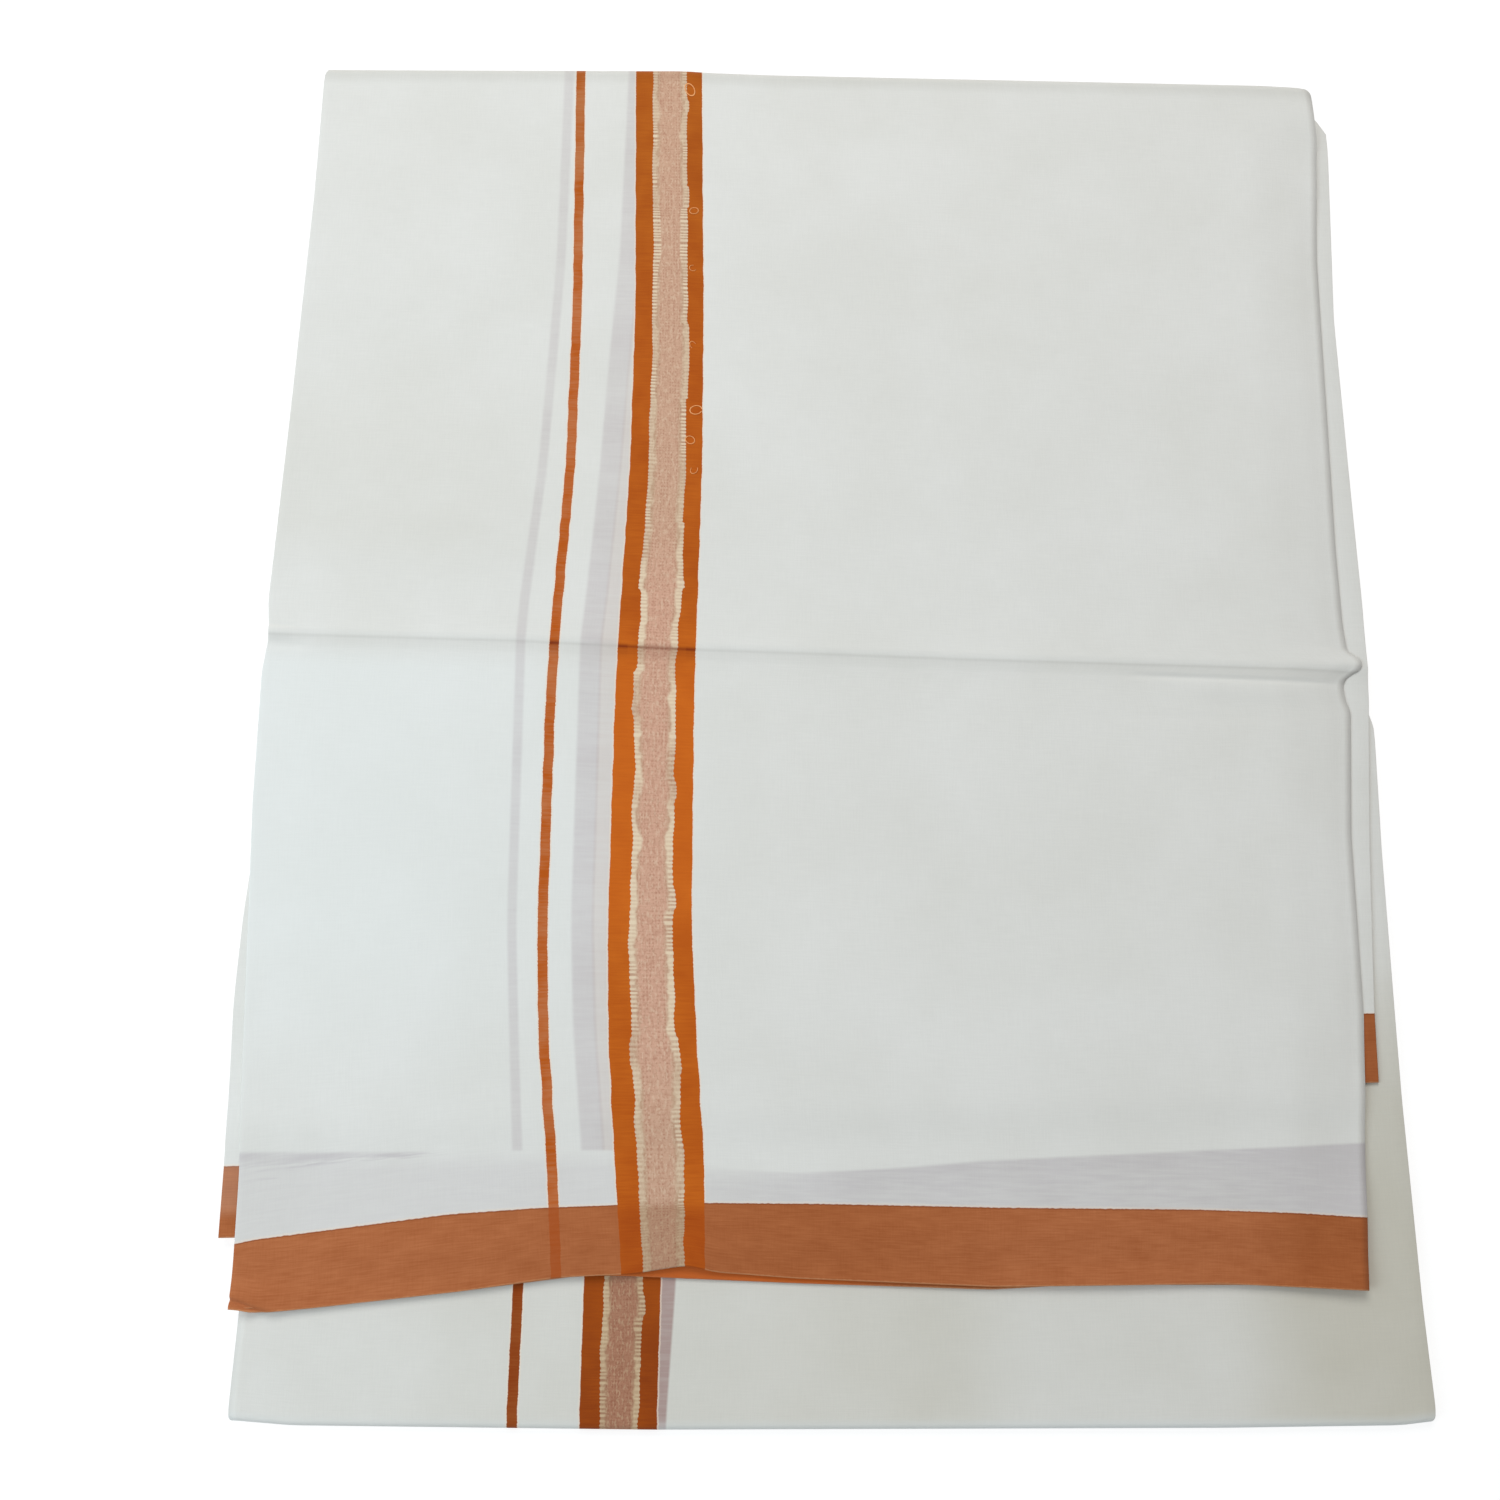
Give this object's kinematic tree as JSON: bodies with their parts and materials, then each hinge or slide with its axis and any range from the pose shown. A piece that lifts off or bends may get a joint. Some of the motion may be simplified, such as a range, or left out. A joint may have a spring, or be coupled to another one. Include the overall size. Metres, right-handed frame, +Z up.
{
  "type": "folded dhoti cloth",
  "caption": "Fine white cotton dhoti with woven orange borders and cross stripes, folded flat for the shelf, with a pressed crease across the front.",
  "frame": {"origin": "middle of the footprint, on the surface that the cloth rests on", "axes": "+X towards the right edge, +Y towards the top fold, +Z up"},
  "size_m": [0.5027, 0.6204, 0.0118],
  "materials": {
    "cotton": "fine plain-woven white cotton, with woven orange selvedges and cross stripes",
    "cotton_folded": "the same white cotton, seen at the edges of the hidden folds"
  },
  "bodies": {
    "root": {"hidden_folds": "cotton_folded", "back_panel": "cotton", "right_underlayer": "cotton", "left_underlayer": "cotton", "second_layer": "cotton", "front_flap": "cotton"}
  },
  "joints": []
}
